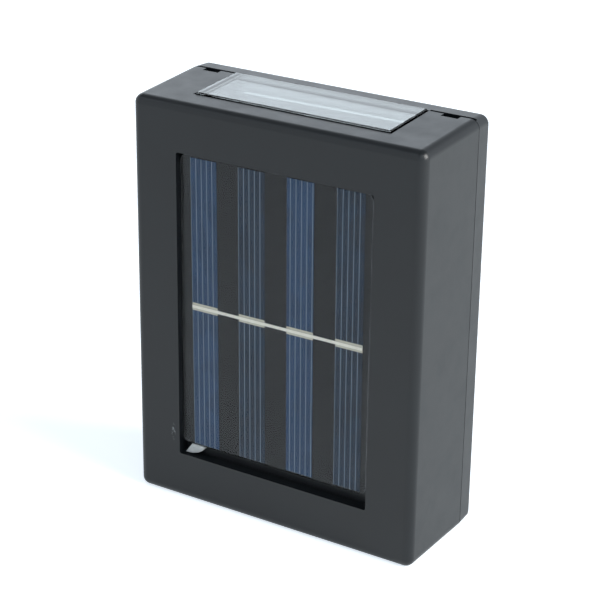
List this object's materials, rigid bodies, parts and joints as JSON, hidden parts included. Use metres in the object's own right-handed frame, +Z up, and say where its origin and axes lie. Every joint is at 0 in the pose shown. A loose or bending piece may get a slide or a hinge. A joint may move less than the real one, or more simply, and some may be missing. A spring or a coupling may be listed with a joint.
{
  "type": "fence light",
  "caption": "Shallow black box wall light with a solar panel in a sunk front window, clear lenses in top and underside, keyhole hangers and a slide switch on the back.",
  "frame": {"origin": "middle of the underside", "axes": "+Z up, +Y from the front with the solar panel into the light and out of its back, +X to the right seen from the front"},
  "size_m": [0.0908, 0.035, 0.1203],
  "materials": {
    "black_abs": "moulded, satin",
    "clear_acrylic": "clear, polished",
    "clear_resin": "clear, poured",
    "silvered_plastic": "bright silver-white moulding",
    "white_board": "white solder mask",
    "black_board": "black solder mask",
    "green_board": "green solder mask",
    "led_phosphor": "yellow phosphor",
    "blue_silicon": "blue polycrystalline silicon",
    "solder_tin": "tinned pad",
    "tinned_copper": "tinned flat wire",
    "foam_tape": "closed-cell foam",
    "screw_steel": "zinc plated",
    "chip_plastic": "moulded",
    "choke_lacquer": "lacquered",
    "capacitor_sleeve": "shrink sleeve",
    "plated_steel": "nickel plated",
    "knob_plastic": "moulded",
    "battery_sleeve": "shrink sleeve",
    "lead_sheath": "white flexible sheath",
    "red_wire": "red flexible sheath",
    "black_wire": "black flexible sheath"
  },
  "bodies": {
    "light": {"front_shell": "black_abs", "rear_cover": "black_abs", "case_screws": "screw_steel", "top_lens": "clear_acrylic", "bottom_lens": "clear_acrylic", "top_reflector": "silvered_plastic", "bottom_reflector": "silvered_plastic", "top_led_board": "white_board", "bottom_led_board": "white_board", "top_leds": "led_phosphor", "bottom_leds": "led_phosphor", "panel_resin": "clear_resin", "panel_board": "black_board", "panel_tape": "foam_tape", "solar_cell_1": "blue_silicon", "solar_cell_2": "blue_silicon", "solar_cell_3": "blue_silicon", "solar_cell_4": "blue_silicon", "cell_pads": "solder_tin", "cell_ribbon": "tinned_copper", "main_board": "green_board", "board_screws": "screw_steel", "control_chip": "chip_plastic", "choke_coil": "choke_lacquer", "capacitor": "capacitor_sleeve", "switch_base": "chip_plastic", "switch_can": "plated_steel", "battery_cell": "plated_steel", "battery_sleeve": "battery_sleeve", "battery_holder": "black_abs", "positive_contact": "plated_steel", "negative_contact": "plated_steel", "negative_spring": "plated_steel", "panel_lead": "lead_sheath", "top_led_lead": "lead_sheath", "bottom_led_lead": "lead_sheath", "positive_wire": "red_wire", "negative_wire": "black_wire"},
    "switch": {"switch_slider": "knob_plastic"}
  },
  "joints": [
    {"name": "switch_slide", "type": "slide", "parent": "light", "child": "switch", "axis": [1, 0, 0], "range_m": [0, 0.0025]}
  ]
}
